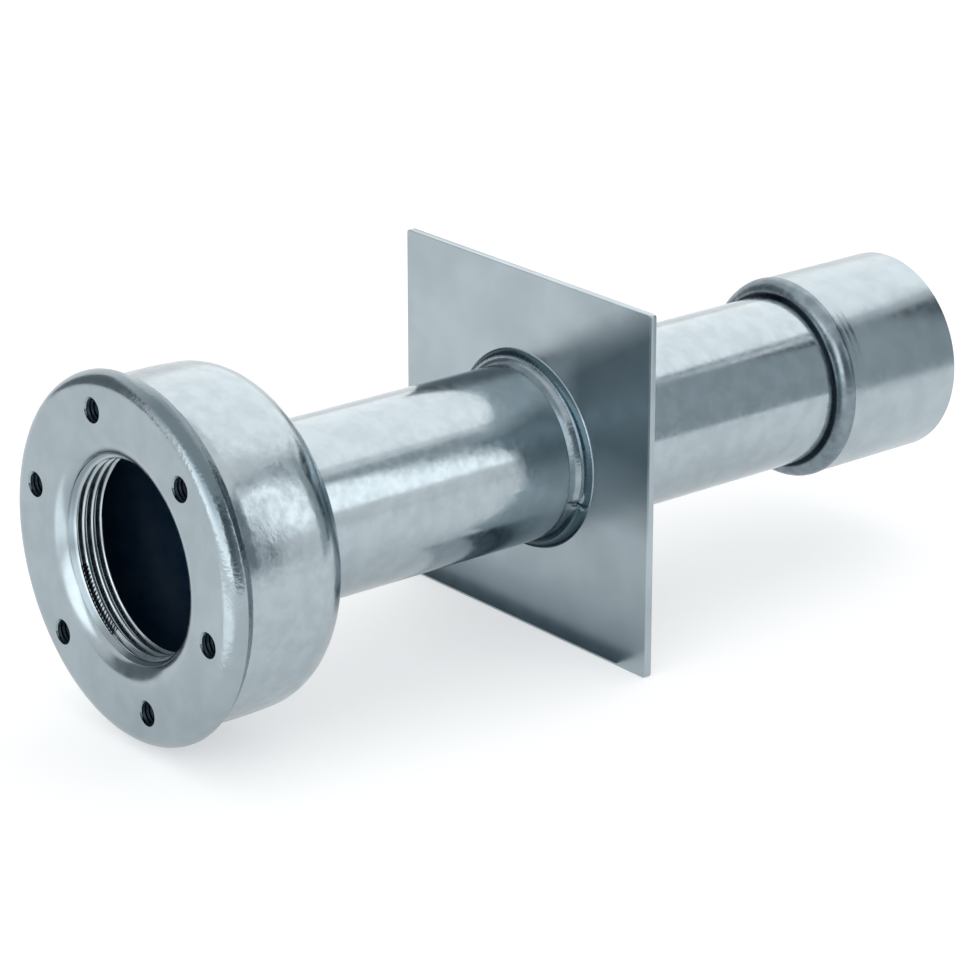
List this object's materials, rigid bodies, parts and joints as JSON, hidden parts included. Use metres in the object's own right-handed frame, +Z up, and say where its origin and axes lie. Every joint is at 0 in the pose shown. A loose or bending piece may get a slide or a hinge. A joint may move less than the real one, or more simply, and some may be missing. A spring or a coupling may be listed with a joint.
{
  "type": "wall sleeve pipe",
  "caption": "Welded stainless wall sleeve: threaded front cup with a tapped flange, pipe through a square water stop plate, and a threaded rear socket.",
  "frame": {"origin": "centre of the flange's front face", "axes": "+Y along the pipe from the front face to the rear socket, +Z up, with the plate's sides level and upright"},
  "size_m": [0.088, 0.234, 0.088],
  "materials": {
    "turned_steel": "turned stainless steel, pickled satin",
    "drawn_steel": "deep-drawn stainless steel, pickled satin",
    "tube_steel": "welded stainless tube, pickled satin",
    "sheet_steel": "cold-rolled stainless sheet, 2B satin",
    "weld_steel": "pickled weld bead"
  },
  "bodies": {
    "root": {"face_flange": "turned_steel", "threaded_bush": "turned_steel", "cup_shell": "drawn_steel", "flange_weld": "weld_steel", "pipe": "tube_steel", "cup_weld": "weld_steel", "wall_plate": "sheet_steel", "plate_front_weld": "weld_steel", "plate_rear_weld": "weld_steel", "rear_socket": "turned_steel", "socket_weld": "weld_steel"}
  },
  "joints": []
}
